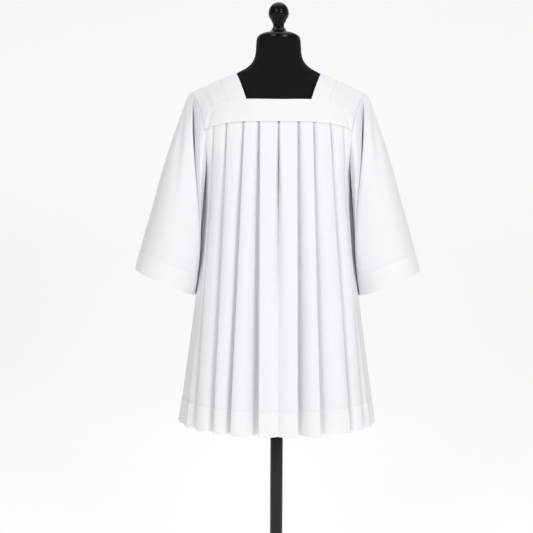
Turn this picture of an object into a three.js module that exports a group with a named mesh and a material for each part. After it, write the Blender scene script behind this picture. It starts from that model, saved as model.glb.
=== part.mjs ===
// A square-yoked surplice on a limbless dress form, in millimetres with +Z up.
// The wearer faces +Y, so the pleated back is on the -Y side. The origin is the
// middle of the stand's underside, on the floor.
import * as THREE from 'three';

// ---- cloth ----
const WALL = 1.2; // one thickness of cloth with its drape
const DOUBLE_WALL = 2.2; // hems and neck strips, where the cloth is doubled
const SEAM_GAP = 0.3; // between the edges of two sewn pieces
const PLEAT_SEAM_GAP = 0.7; // between the yoke band and the pleats sewn to it
const ARMHOLE_GAP = 1.2; // between the armhole and the head of the sleeve

// ---- body of the garment ----
const HEM_Z = 578; // hem at the side seams
const HEM_DIP = 6; // how much lower it hangs in the middle
const HEM_BAND = 60; // depth of the turned-up hem
const HEM_HALF_WIDTH = 249;
const HEM_HALF_DEPTH = 190;
const DEPTH_POWER = 0.95; // how evenly the skirt stands out on the way down
const CHEST_HALF_WIDTH = 183; // from the underarm to where the flare starts
const FLARE_Z = 1120; // where the side starts to flare
const FLARE_POWER = 1.27;
const UNDERARM_Z = 1190;
const YOKE_HALF_WIDTH = 225; // of the ring that the yoke's lower edge lies on
const YOKE_HALF_DEPTH = 120;
const RING_POWER = 2.1; // 2 is an ellipse, more is squarer

// ---- yoke, seen square-on from the back ----
const NECK_POINT = { x: 107, z: 1450.3 }; // top of the neck edge on the shoulder
const SHOULDER_POINT = { x: 217, z: 1402.5 };
const STRIP_TOP_X = 146; // outer edge of the neck strip on the shoulder
const STRIP_LOW_X = 123; // and where it meets the band
const ARMHOLE_SEAM_X = 189; // armhole at the band's upper seam
const ARMHOLE_BAND_X = 179; // armhole at the band's lower edge
const BAND_DROP_POWER = 5; // how late the band's lower edge turns down

// One side of the garment. Each pleat has the place of its folded edge on the
// yoke and on the hem, and how deep it stands at the hem. They run outwards
// from the inverted pleat in the middle.
const BACK = {
  sign: -1,
  neckZ: 1372,
  neckHalf: 78,
  seamEndZ: 1349,
  yokeZ: 1317.5,
  yokeEndZ: 1300.5,
  pleats: {
    left: [
      { top: 45, hem: 45, depth: 30 },
      { top: 82, hem: 112, depth: 25 },
      { top: 123, hem: 153, depth: 22 },
      { top: 154, hem: 199, depth: 17 },
    ],
    right: [
      { top: 45, hem: 48, depth: 29 },
      { top: 82, hem: 102, depth: 27 },
      { top: 123, hem: 175, depth: 21 },
      { top: 154, hem: 210, depth: 15 },
    ],
  },
};
const FRONT = {
  ...BACK,
  sign: 1,
  neckZ: 1342,
  neckHalf: 74,
  seamEndZ: 1328,
  yokeZ: 1287.5,
  yokeEndZ: 1270.5,
  pleats: { left: BACK.pleats.right, right: BACK.pleats.left },
};
const CENTRE_PLEAT_DEPTH = 9;
const CENTRE_AT_YOKE = 0.3; // share of the middle pleat's depth that is there at the yoke
const PLEAT_AT_YOKE = 0.05; // and of the other pleats' depths
const FULLNESS_POWER = 0.75; // how soon the rest opens below the yoke

// ---- sleeve ----
const CUFF_OUTER = { x: 357, z: 959 };
const CUFF_INNER = { x: 206.5, z: 894 };
const CUFF_HALF_DEPTH = 88;
const SLEEVE_HEM = 48;
const SHOULDER_PUFF = 11; // how far the sleeve head stands out
const BACKWARD_POWER = 0.8; // the lines bow backwards most above the elbow
const INWARD_POWER = 2; // and towards the body below it
const HEAD = { power: 0.6, roundness: 0.7 }; // curve of the sleeve head's outline

// ---- dress form ----
const FORM_POWER = 2.2;
const FORM_SECTIONS = [ // height, half width, half depth
  [790, 138, 92], [794, 150, 101], [804, 157, 106], [880, 166, 112], [960, 158, 106],
  [1060, 135, 92], [1150, 150, 100], [1240, 163, 108], [1300, 174, 106], [1340, 184, 101],
  [1370, 189, 94], [1392, 190, 80], [1407, 181, 70], [1418, 157, 65], [1431, 126, 60],
  [1440, 112, 57], [1446.6, 106, 55], [1450, 102.5, 54], [1456, 91, 53.4], [1463, 79.5, 52.8],
  [1471, 70.2, 52], [1480, 63.6, 51.2], [1490, 59.4, 50.4], [1500, 57.4, 49.9], [1515, 56.3, 49.4],
  [1531.2, 55.2, 49],
];
const CAP_OVAL = 0.885; // depth of the neck cap against its width
const CAP_RADIUS = 55;
const CAP_Z = 1531.5;
const CAP_TOP_Z = 1553;
const BALL_RADIUS = 26;
const BALL_Z = 1600.5;
const POLE_RADIUS = 16;
const BASE_RADIUS = 190;
const HUB_TOP_Z = 46;

const CLOTH = { color: 0xf6f6fb, roughness: 0.88, metalness: 0 };
const FORM_COVER = { color: 0x19191b, roughness: 0.9, metalness: 0 };
const GLOSS = { color: 0x101011, roughness: 0.22, metalness: 0 };
const STEEL = { color: 0x17181a, roughness: 0.4, metalness: 0.6 };

// ---- small helpers ----
const lerp = (a, b, t) => a + (b - a) * t;
const clamp01 = (t) => Math.min(1, Math.max(0, t));
const smooth = (t) => clamp01(t) ** 2 * (3 - 2 * clamp01(t));
const point = (x, y, z) => new THREE.Vector3(x, y, z);
const range = (count) => Array.from({ length: count }, (_, i) => i);

// ---- the garment's rings, one for each height and side ----
function halfWidth(side, z) {
  if (z >= UNDERARM_Z) {
    const rise = (z - UNDERARM_Z) / (side.yokeZ - UNDERARM_Z);
    return lerp(CHEST_HALF_WIDTH, YOKE_HALF_WIDTH, smooth(rise));
  }
  const drop = clamp01((FLARE_Z - z) / (FLARE_Z - HEM_Z));
  return CHEST_HALF_WIDTH + (HEM_HALF_WIDTH - CHEST_HALF_WIDTH) * drop ** FLARE_POWER;
}

function halfDepth(side, z) {
  const drop = clamp01((side.yokeZ - z) / (side.yokeZ - HEM_Z));
  return lerp(YOKE_HALF_DEPTH, HEM_HALF_DEPTH, drop ** DEPTH_POWER);
}

// The ring's point at an angle turned from the side seam towards the middle.
function ringPoint(side, angle, z) {
  const width = halfWidth(side, z);
  const depth = halfDepth(side, z);
  const c = Math.cos(angle);
  const s = Math.sin(angle);
  const reach = ((c / width) ** RING_POWER + (s / depth) ** RING_POWER) ** (-1 / RING_POWER);
  return point(reach * c, side.sign * reach * s, z);
}

function ringAngle(side, x, z) {
  const across = Math.min(1, x / halfWidth(side, z));
  const back = (1 - across ** RING_POWER) ** (1 / RING_POWER);
  return Math.atan2(back * halfDepth(side, z), x);
}

function ringNormal(side, p) {
  const across = (Math.abs(p.x) / halfWidth(side, p.z)) ** (RING_POWER - 1) / halfWidth(side, p.z);
  const back = (Math.abs(p.y) / halfDepth(side, p.z)) ** (RING_POWER - 1) / halfDepth(side, p.z);
  return point(across, side.sign * back, 0).normalize();
}

// ---- the yoke's surface: at each x a quarter ellipse from the shoulder ridge
// down to the band's lower edge ----
function ridgeZ(x) {
  const slope = (NECK_POINT.z - SHOULDER_POINT.z) / (SHOULDER_POINT.x - NECK_POINT.x);
  return NECK_POINT.z - (x - NECK_POINT.x) * slope;
}

function bandLowZ(side, x) {
  return side.yokeZ - (side.yokeZ - side.yokeEndZ) * (x / ARMHOLE_BAND_X) ** BAND_DROP_POWER;
}

function bandTopZ(side, x) {
  const beyond = Math.max(0, x - side.neckHalf) / (ARMHOLE_SEAM_X - side.neckHalf);
  return side.neckZ - (side.neckZ - side.seamEndZ) * beyond ** 2;
}

function yokePoint(side, x, z) {
  const across = (x / YOKE_HALF_WIDTH) ** RING_POWER;
  const reach = YOKE_HALF_DEPTH * (1 - across) ** (1 / RING_POWER);
  const rise = (z - bandLowZ(side, x)) / (ridgeZ(x) - bandLowZ(side, x));
  return point(x, side.sign * reach * Math.sqrt(clamp01(1 - rise ** 2)), z);
}

// ---- walls ----
// Averages the faces round each vertex of a grid of points.
function gridNormals(grid, closed) {
  const rows = grid.length;
  const columns = grid[0].length;
  return grid.map((row, j) => row.map((p, i) => {
    const before = closed ? (i + columns - 1) % columns : Math.max(0, i - 1);
    const after = closed ? (i + 1) % columns : Math.min(columns - 1, i + 1);
    const up = grid[Math.max(0, j - 1)][i];
    const down = grid[Math.min(rows - 1, j + 1)][i];
    const side = (q) => row[q].clone().sub(p);
    const drop = down.clone().sub(up);
    const normal = point(0, 0, 0);
    if (before !== i) normal.add(drop.clone().cross(side(before).negate()).normalize());
    if (after !== i) normal.add(drop.clone().cross(side(after)).normalize());
    return normal.normalize();
  }));
}

// Closes a grid of outer points into a wall: rows run downwards, columns run
// anticlockwise seen from above, and the inner face is moved in by thickness(j).
function wall(grid, thickness, { closed = false, fix = (normal) => normal } = {}) {
  const rows = grid.length;
  const columns = grid[0].length;
  const normals = gridNormals(grid, closed);
  const inner = grid.map((row, j) => row.map((p, i) =>
    p.clone().addScaledVector(fix(normals[j][i], i, j), -thickness(j))));
  const vertices = [...grid.flat(), ...inner.flat()];
  const outside = (i, j) => j * columns + (i % columns);
  const inside = (i, j) => rows * columns + outside(i, j);
  const faces = [];
  const quad = (a, b, c, d) => faces.push(a, b, c, a, c, d);
  const spans = closed ? columns : columns - 1;
  for (let j = 0; j < rows - 1; j += 1) {
    for (let i = 0; i < spans; i += 1) {
      quad(outside(i, j), outside(i, j + 1), outside(i + 1, j + 1), outside(i + 1, j));
      quad(inside(i, j), inside(i + 1, j), inside(i + 1, j + 1), inside(i, j + 1));
    }
    if (!closed) {
      quad(outside(0, j), inside(0, j), inside(0, j + 1), outside(0, j + 1));
      const last = columns - 1;
      quad(outside(last, j), outside(last, j + 1), inside(last, j + 1), inside(last, j));
    }
  }
  for (let i = 0; i < spans; i += 1) {
    quad(outside(i, 0), outside(i + 1, 0), inside(i + 1, 0), inside(i, 0));
    const low = rows - 1;
    quad(outside(i, low), inside(i, low), inside(i + 1, low), outside(i + 1, low));
  }
  return solid(vertices, faces);
}

function solid(vertices, faces) {
  const geometry = new THREE.BufferGeometry();
  const positions = vertices.flatMap((v) => [v.x, v.y, v.z]);
  geometry.setAttribute('position', new THREE.Float32BufferAttribute(positions, 3));
  geometry.setIndex(faces);
  geometry.computeVertexNormals();
  return geometry;
}

// Keeps the rows that meet another piece level, so that walls of two
// thicknesses don't cross at the seam.
const levelRows = (...rows) => (normal, i, j) =>
  (rows.includes(j) ? normal.setZ(0).normalize() : normal);

// The columns of a front piece run the other way round the body.
const ordered = (side, row) => (side.sign < 0 ? row : [...row].reverse());
const mirrored = (p) => point(-p.x, p.y, p.z);

// ---- yoke ----
function yokeBand(side) {
  const corner = side.neckHalf / ARMHOLE_SEAM_X;
  const half = [0, 0.14, 0.28, corner, 0.52, 0.63, 0.74, 0.83, 0.88, 0.92, 0.96, 1];
  const across = [...half.slice(1).reverse().map((u) => -u), ...half];
  const grid = range(5).map((j) => {
    const up = 1 - j / 4;
    const width = lerp(ARMHOLE_BAND_X, ARMHOLE_SEAM_X, up);
    return ordered(side, across.map((u) => {
      const x = Math.abs(u) * width;
      const seam = Math.abs(u) >= corner ? SEAM_GAP : 0;
      const z = lerp(bandLowZ(side, x), bandTopZ(side, x) - seam, up);
      const p = yokePoint(side, x, z);
      return u < 0 ? mirrored(p) : p;
    }));
  });
  return wall(grid, () => WALL, { fix: levelRows(0, 4) });
}

// A strip over the shoulder, from the back band's seam to the front band's,
// between two edges given by their x on the ridge and at the seam.
function shoulderPiece(inner, outer, columns, thickness) {
  const steps = 14;
  const grid = range(steps + 1).map((j) => {
    const turn = (j / steps - 0.5) * Math.PI;
    const side = turn < 0 ? BACK : FRONT;
    const down = 1 - Math.cos(turn);
    return range(columns + 1).map((i) => {
      const x = lerp(lerp(inner.top, inner.low, down), lerp(outer.top, outer.low, down), i / columns);
      return yokePoint(side, x, lerp(ridgeZ(x), bandTopZ(side, x), down));
    });
  });
  return wall(grid.reverse(), () => thickness, { fix: levelRows(0, steps) });
}

const neckEdge = { top: NECK_POINT.x, low: BACK.neckHalf };
const stripEdge = { top: STRIP_TOP_X, low: STRIP_LOW_X };
const armholeEdge = { top: SHOULDER_POINT.x, low: ARMHOLE_SEAM_X };
const shifted = (edge, by) => ({ top: edge.top + by, low: edge.low + by });

// ---- pleated front and back ----
// Across a knife pleat, from under its neighbour's fold to its own fold.
const PLEAT_ACROSS = [0.04, 0.13, 0.26, 0.42, 0.7, 0.97];
const PLEAT_HEIGHT = [-1, -0.86, -0.54, -0.22, 0, -0.02];
const CENTRE_ACROSS = [0.12, 0.3, 0.55, 0.97];
const CENTRE_HEIGHT = [-0.75, -0.2, 0, -0.02];
const SIDE_ACROSS = [0.02, 0.07, 0.13, 0.24];
const SIDE_TROUGHS = [ // beside the last pleat, and between it and the side seam
  { at: 0, reach: 0.1, depth: 1 },
  { at: 0.55, reach: 0.16, depth: 0.35 },
];
const ARMHOLE_TURN = [0.16, 0.33, 0.5, 0.67, 0.84, 1];

const foldX = (side, fold, z) =>
  lerp(fold.top, fold.hem, clamp01((side.yokeZ - z) / (side.yokeZ - HEM_Z)));
const fullness = (down, atYoke) => lerp(atYoke, 1, down ** FULLNESS_POWER);

// Height of the cloth between the last pleat and the side seam.
const sideHeight = (c) => SIDE_TROUGHS.reduce(
  (height, { at, reach, depth }) => height - depth * Math.exp(-(((c - at) / reach) ** 2)), 0);

// How far the hem hangs below its height at the side seams.
const hemDip = (hemX) => HEM_DIP * smooth(1.25 - hemX / HEM_HALF_WIDTH);

// The lower half of the armhole, from the band's end (0) to the underarm (1).
function lowerArmhole(side, g) {
  const start = ringAngle(side, ARMHOLE_BAND_X, side.yokeEndZ);
  const turn = (g * Math.PI) / 2;
  const z = side.yokeEndZ - (side.yokeEndZ - UNDERARM_Z) * Math.sin(turn);
  return { angle: start * Math.cos(turn), z };
}

// Columns of half a panel, from the middle to the side seam. Each gives its
// top, its dip at the hem, its angle at a height, and its height over the ring.
function halfColumns(side, pleats) {
  const columns = [];
  const middle = { top: 0, hem: 0 };
  const add = (from, to, w, depth, height, atYoke = PLEAT_AT_YOKE) => {
    const xAt = (z) => lerp(foldX(side, from, z), foldX(side, to, z), w);
    const top = bandLowZ(side, xAt(side.yokeZ)) - PLEAT_SEAM_GAP;
    columns.push({
      top,
      dip: hemDip(lerp(from.hem, to.hem, w)),
      angle: (z) => ringAngle(side, xAt(z), z),
      lift: (down) => depth * height * fullness(down, atYoke),
    });
  };
  add(middle, middle, 0, CENTRE_PLEAT_DEPTH, -1, CENTRE_AT_YOKE);
  CENTRE_ACROSS.forEach((w, k) => {
    add(middle, pleats[0], w, CENTRE_PLEAT_DEPTH, CENTRE_HEIGHT[k], CENTRE_AT_YOKE);
  });
  pleats.slice(1).forEach((pleat, n) => {
    PLEAT_ACROSS.forEach((w, k) => {
      add(pleats[n], pleat, w, pleats[n].depth, PLEAT_HEIGHT[k]);
    });
  });
  const last = pleats[pleats.length - 1];
  const lastAngle = (z) => ringAngle(side, foldX(side, last, z), z);
  const addSide = (c, top, atYoke) => columns.push({
    top,
    dip: hemDip(last.hem) * (1 - c),
    angle: (z) => lastAngle(z) * (1 - c),
    lift: (down) => last.depth * sideHeight(c) * fullness(down, atYoke),
  });
  const bandEnd = 1 - ringAngle(side, ARMHOLE_BAND_X, side.yokeEndZ) / lastAngle(side.yokeEndZ);
  SIDE_ACROSS.forEach((c) => {
    const x = lerp(foldX(side, last, side.yokeZ), ARMHOLE_BAND_X, c / SIDE_ACROSS[3]);
    const atYoke = c < SIDE_ACROSS[3] ? PLEAT_AT_YOKE : 0;
    addSide(bandEnd * (c / SIDE_ACROSS[3]), bandLowZ(side, x) - PLEAT_SEAM_GAP, atYoke);
  });
  ARMHOLE_TURN.forEach((g) => {
    const edge = lowerArmhole(side, g);
    addSide(1 - edge.angle / lastAngle(edge.z), edge.z, 0);
  });
  return columns;
}

const PANEL_DOWN = [0, 0.04, 0.12, 0.25, 0.42, 0.66, 1];

function pleatedPanel(side) {
  const place = (column, mirror) => (level, down) => {
    const z = level - column.dip * down ** 2;
    const p = ringPoint(side, column.angle(z), z);
    p.addScaledVector(ringNormal(side, p), column.lift(down));
    if (column.seam) p.y = (side.sign * SEAM_GAP) / 2;
    return mirror ? mirrored(p) : p;
  };
  const left = halfColumns(side, side.pleats.left);
  const right = halfColumns(side, side.pleats.right);
  left[left.length - 1].seam = true;
  right[right.length - 1].seam = true;
  const columns = [
    ...left.slice(1).reverse().map((column) => ({ column, at: place(column, true) })),
    ...right.map((column) => ({ column, at: place(column, false) })),
  ];
  const bandZ = HEM_Z + HEM_BAND;
  const rows = PANEL_DOWN.map((r) => ordered(side, columns.map(({ column, at }) =>
    at(lerp(column.top, bandZ, r), r))));
  const hemRow = (z) => ordered(side, columns.map(({ at }) => at(z, 1)));
  rows.push(hemRow(bandZ - 1), hemRow(HEM_Z));
  const seams = [0, columns.length - 1];
  return wall(rows, (j) => (j < PANEL_DOWN.length ? WALL : DOUBLE_WALL), {
    fix: (normal, i, j) =>
      levelRows(0)(seams.includes(i) ? normal.setY(0).normalize() : normal, i, j),
  });
}

// ---- sleeves ----
// The armhole on one side, from the shoulder point (0) to the underarm (1).
const BAND_SEAM_AT = 0.3; // where the band's upper seam meets it
const BAND_END_AT = 0.48; // and the band's lower edge

function armhole(side, f) {
  if (f < BAND_SEAM_AT) {
    const down = 1 - Math.cos(((f / BAND_SEAM_AT) * Math.PI) / 2);
    const x = lerp(armholeEdge.top, armholeEdge.low, down);
    return yokePoint(side, x, lerp(ridgeZ(x), bandTopZ(side, x), down));
  }
  if (f < BAND_END_AT) {
    const down = (f - BAND_SEAM_AT) / (BAND_END_AT - BAND_SEAM_AT);
    const x = lerp(ARMHOLE_SEAM_X, ARMHOLE_BAND_X, down);
    return yokePoint(side, x, lerp(side.seamEndZ, side.yokeEndZ, down));
  }
  const edge = lowerArmhole(side, (f - BAND_END_AT) / (1 - BAND_END_AT));
  return ringPoint(side, edge.angle, edge.z);
}

// The cuff's edge, from its outer end (0) to its inner end (1).
function cuff(side, f) {
  const turn = f * Math.PI;
  const bend = (v) => Math.sign(v) * Math.abs(v) ** (2 / RING_POWER);
  const along = (1 - bend(Math.cos(turn))) / 2;
  return point(
    lerp(CUFF_OUTER.x, CUFF_INNER.x, along),
    side.sign * CUFF_HALF_DEPTH * bend(Math.sin(turn)),
    lerp(CUFF_OUTER.z, CUFF_INNER.z, along),
  );
}

// Lengthwise folds of half a sleeve: where each line starts on the armhole,
// where it ends on the cuff, and how far it bows towards the body and away from
// the middle of the arm.
// A crest runs down beside the body with a deep groove behind it.
const SLEEVE_LINES = [
  { arm: 0.015, cuff: 0.1, inwards: -9, backwards: 3 },
  { arm: 0.03, cuff: 0.24, inwards: -6, backwards: 11 },
  { arm: 0.045, cuff: 0.38, inwards: -2, backwards: 18 },
  { arm: 0.06, cuff: 0.52, inwards: 3, backwards: 24 },
  { arm: 0.075, cuff: 0.66, inwards: 9, backwards: 29 },
  { arm: 0.09, cuff: 0.78, inwards: 17, backwards: 34 },
  { arm: 0.102, cuff: 0.85, inwards: 22, backwards: 33 },
  { arm: 0.114, cuff: 0.872, inwards: 19, backwards: 18 },
  { arm: 0.135, cuff: 0.887, inwards: 12, backwards: 1 },
  { arm: 0.175, cuff: 0.903, inwards: 11, backwards: 16 },
  { arm: 0.23, cuff: 0.918, inwards: 12, backwards: 24 },
  { arm: BAND_SEAM_AT, cuff: 0.93, inwards: 11, backwards: 24 },
  { arm: 0.39, cuff: 0.943, inwards: 9, backwards: 18 },
  { arm: BAND_END_AT, cuff: 0.955, inwards: 6, backwards: 9 },
  ...ARMHOLE_TURN.slice(0, -1).map((g, k) => ({
    arm: lerp(BAND_END_AT, 1, g),
    cuff: lerp(0.955, 1, (k + 1) / ARMHOLE_TURN.length),
    inwards: k === 0 ? 3 : 0,
    backwards: k === 0 ? 3 : 0,
  })),
];
const SHOULDER_LINE = { arm: 0, cuff: 0, inwards: -SHOULDER_PUFF, backwards: 0 };
const UNDERARM_LINE = { arm: 1, cuff: 1, inwards: 0, backwards: 0 };

function sleevePoint(side, line, s) {
  const start = armhole(side, line.arm).add(point(ARMHOLE_GAP, 0, 0));
  const p = start.lerp(cuff(side, line.cuff), s);
  const late = Math.sin(Math.PI * s ** INWARD_POWER);
  const head = Math.max(0, Math.sin(Math.PI * s ** HEAD.power)) ** HEAD.roundness;
  p.x -= line.inwards * (line.inwards < 0 ? head : late);
  p.y += side.sign * line.backwards * Math.sin(Math.PI * s ** BACKWARD_POWER);
  return p;
}

const SLEEVE_DOWN = [0, 0.03, 0.09, 0.2, 0.36, 0.54, 0.72];

function sleeve(rightSide) {
  const backLines = SLEEVE_LINES.map((line) => ({ side: BACK, line }));
  const frontLines = SLEEVE_LINES.map((line) => ({ side: FRONT, line })).reverse();
  const lines = [
    { side: BACK, line: SHOULDER_LINE }, ...backLines,
    { side: BACK, line: UNDERARM_LINE }, ...frontLines,
  ];
  const bandAt = 1 - SLEEVE_HEM / (SHOULDER_POINT.z - CUFF_OUTER.z);
  const down = [...SLEEVE_DOWN, bandAt, bandAt + 0.003, 1];
  const grid = down.map((s) => {
    const row = lines.map(({ side, line }) => sleevePoint(side, line, s));
    return rightSide ? row.reverse() : row.map(mirrored);
  });
  return wall(grid, (j) => (j <= SLEEVE_DOWN.length ? WALL : DOUBLE_WALL), { closed: true });
}

// ---- dress form and its stand ----
function loft(sections, count, power) {
  const rings = sections.map(([z, width, depth]) => range(count).map((i) => {
    const angle = (i / count) * 2 * Math.PI;
    const c = Math.abs(Math.cos(angle)) / width;
    const s = Math.abs(Math.sin(angle)) / depth;
    const reach = (c ** power + s ** power) ** (-1 / power);
    return point(reach * Math.cos(angle), reach * Math.sin(angle), z);
  }));
  const top = rings.length - 1;
  const vertices = [...rings.flat(), point(0, 0, sections[0][0]), point(0, 0, sections[top][0])];
  const low = rings.length * count;
  const faces = [];
  for (let i = 0; i < count; i += 1) {
    const next = (i + 1) % count;
    for (let j = 0; j < top; j += 1) {
      const a = j * count;
      const b = a + count;
      faces.push(a + i, a + next, b + next, a + i, b + next, b + i);
    }
    faces.push(low, next, i, low + 1, top * count + i, top * count + next);
  }
  return solid(vertices, faces);
}

function turned(profile, segments) {
  return new THREE.LatheGeometry(profile.map(([r, z]) => new THREE.Vector2(r, z)), segments)
    .rotateX(Math.PI / 2);
}

function neckCap() {
  return turned([[0, CAP_Z], [CAP_RADIUS - 0.6, CAP_Z], [CAP_RADIUS, CAP_Z + 0.6],
    [CAP_RADIUS, 1537], [53.4, 1540.4], [51.2, 1542.8], [47.9, 1545.2], [43, 1547.7],
    [36, 1550], [25.5, 1552.2], [18, CAP_TOP_Z], [0, CAP_TOP_Z]], 40).scale(1, CAP_OVAL, 1);
}

function finial() {
  const foot = CAP_TOP_Z + SEAM_GAP;
  const stem = [[0, foot], [22.4, foot], [21.8, foot + 1.2], [18.3, foot + 6], [15.2, foot + 10.6],
    [13.8, foot + 14.6], [14.1, foot + 18], [15.6, foot + 21.6], [18, foot + 26.2]];
  const ball = range(13).map((k) => {
    const turn = lerp(-0.72, Math.PI / 2, k / 12);
    return [BALL_RADIUS * Math.cos(turn), BALL_Z + BALL_RADIUS * Math.sin(turn)];
  });
  ball[ball.length - 1][0] = 0;
  return turned([...stem, ...ball], 32);
}

function pole() {
  const low = HUB_TOP_Z + SEAM_GAP;
  const high = FORM_SECTIONS[0][0] - SEAM_GAP;
  return turned([[0, low], [POLE_RADIUS, low], [POLE_RADIUS, high], [0, high]], 32);
}

function base() {
  return turned([[0, 0], [BASE_RADIUS - 2, 0], [BASE_RADIUS, 2], [BASE_RADIUS, 9],
    [BASE_RADIUS - 3, 12], [120, 16], [50, 19], [34, 24], [29, 32], [28, HUB_TOP_Z - 2],
    [26, HUB_TOP_Z], [0, HUB_TOP_Z]], 48);
}

// ---- the object ----
const object = new THREE.Group();

function piece(name, geometry, finish) {
  const mesh = new THREE.Mesh(geometry, new THREE.MeshStandardMaterial(finish));
  mesh.name = name;
  object.add(mesh);
}

function overShoulders(name, inner, outer, columns, thickness) {
  const right = shoulderPiece(inner, outer, columns, thickness);
  piece(`${name}_right`, right, CLOTH);
  const left = right.clone().scale(-1, 1, 1);
  left.index.array.reverse();
  piece(`${name}_left`, left, CLOTH);
}

piece('yoke_band_back', yokeBand(BACK), CLOTH);
piece('yoke_band_front', yokeBand(FRONT), CLOTH);
overShoulders('neck_strip', neckEdge, shifted(stripEdge, -SEAM_GAP / 2), 3, DOUBLE_WALL);
overShoulders('shoulder_panel', shifted(stripEdge, SEAM_GAP / 2), armholeEdge, 5, WALL);
piece('pleated_back', pleatedPanel(BACK), CLOTH);
piece('pleated_front', pleatedPanel(FRONT), CLOTH);
piece('sleeve_left', sleeve(false), CLOTH);
piece('sleeve_right', sleeve(true), CLOTH);
piece('form_torso', loft(FORM_SECTIONS, 40, FORM_POWER), FORM_COVER);
piece('neck_cap', neckCap(), GLOSS);
piece('finial', finial(), GLOSS);
piece('pole', pole(), STEEL);
piece('base', base(), STEEL);

export default object;
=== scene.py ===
"""A square-yoked white surplice hung on a limbless black dress form.

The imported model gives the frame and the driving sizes. Every piece of cloth is a thin closed wall laid on
a surface that is worked out from those sizes, so the pieces meet at the same seams as their solids do.
Lengths are metres, +Z is up and the pleated back faces -Y.
"""
from __future__ import annotations

import logging
import math
from dataclasses import dataclass
from enum import Enum
from typing import Any, Callable, Sequence

import bmesh
import bpy
import numpy as np
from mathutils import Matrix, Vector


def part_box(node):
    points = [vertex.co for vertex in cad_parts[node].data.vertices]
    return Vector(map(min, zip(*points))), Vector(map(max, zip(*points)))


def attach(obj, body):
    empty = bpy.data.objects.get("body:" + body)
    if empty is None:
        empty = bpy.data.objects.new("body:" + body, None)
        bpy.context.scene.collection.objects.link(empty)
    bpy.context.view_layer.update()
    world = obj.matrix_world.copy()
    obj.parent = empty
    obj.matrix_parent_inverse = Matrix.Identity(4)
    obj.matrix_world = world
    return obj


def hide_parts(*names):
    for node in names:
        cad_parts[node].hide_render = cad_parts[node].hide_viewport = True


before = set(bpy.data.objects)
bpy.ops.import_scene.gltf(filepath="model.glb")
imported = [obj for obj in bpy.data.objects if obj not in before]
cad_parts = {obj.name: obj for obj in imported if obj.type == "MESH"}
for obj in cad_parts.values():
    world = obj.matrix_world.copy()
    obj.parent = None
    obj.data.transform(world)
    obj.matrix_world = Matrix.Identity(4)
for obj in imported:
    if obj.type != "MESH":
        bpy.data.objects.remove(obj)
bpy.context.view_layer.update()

LOG = logging.getLogger("surplice")
MM = 0.001
ROOT = "root"
Array = np.ndarray
Piece = bpy.types.Object
Material = bpy.types.Material
Colour = tuple[float, float, float, float]
Pair = tuple[float, float]


def operator(operation: str, reflected: bool = False) -> Callable[["Wire", Any], "Wire"]:
    """Make a method that adds one Math node.

    Args:
        operation: the node's operation.
        reflected: whether the wire is on the right.

    Returns:
        The method.
    """
    def apply(self: "Wire", other: "Wire | float") -> "Wire":
        """Apply the operation to the wire and another value."""
        return self.shader.math(operation, *((other, self) if reflected else (self, other)))
    return apply


class Wire:
    """A shader socket whose operators add Math nodes to its tree."""

    def __init__(self, shader: "Shader", socket: Any) -> None:
        """Keep the socket and the tree it belongs to.

        Args:
            shader: the tree that the operators add to.
            socket: the output that is wrapped.
        """
        self.shader = shader
        self.socket = socket

    __add__, __radd__ = operator("ADD"), operator("ADD", True)
    __sub__, __rsub__ = operator("SUBTRACT"), operator("SUBTRACT", True)
    __mul__, __rmul__ = operator("MULTIPLY"), operator("MULTIPLY", True)
    __pow__ = operator("POWER")


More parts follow.
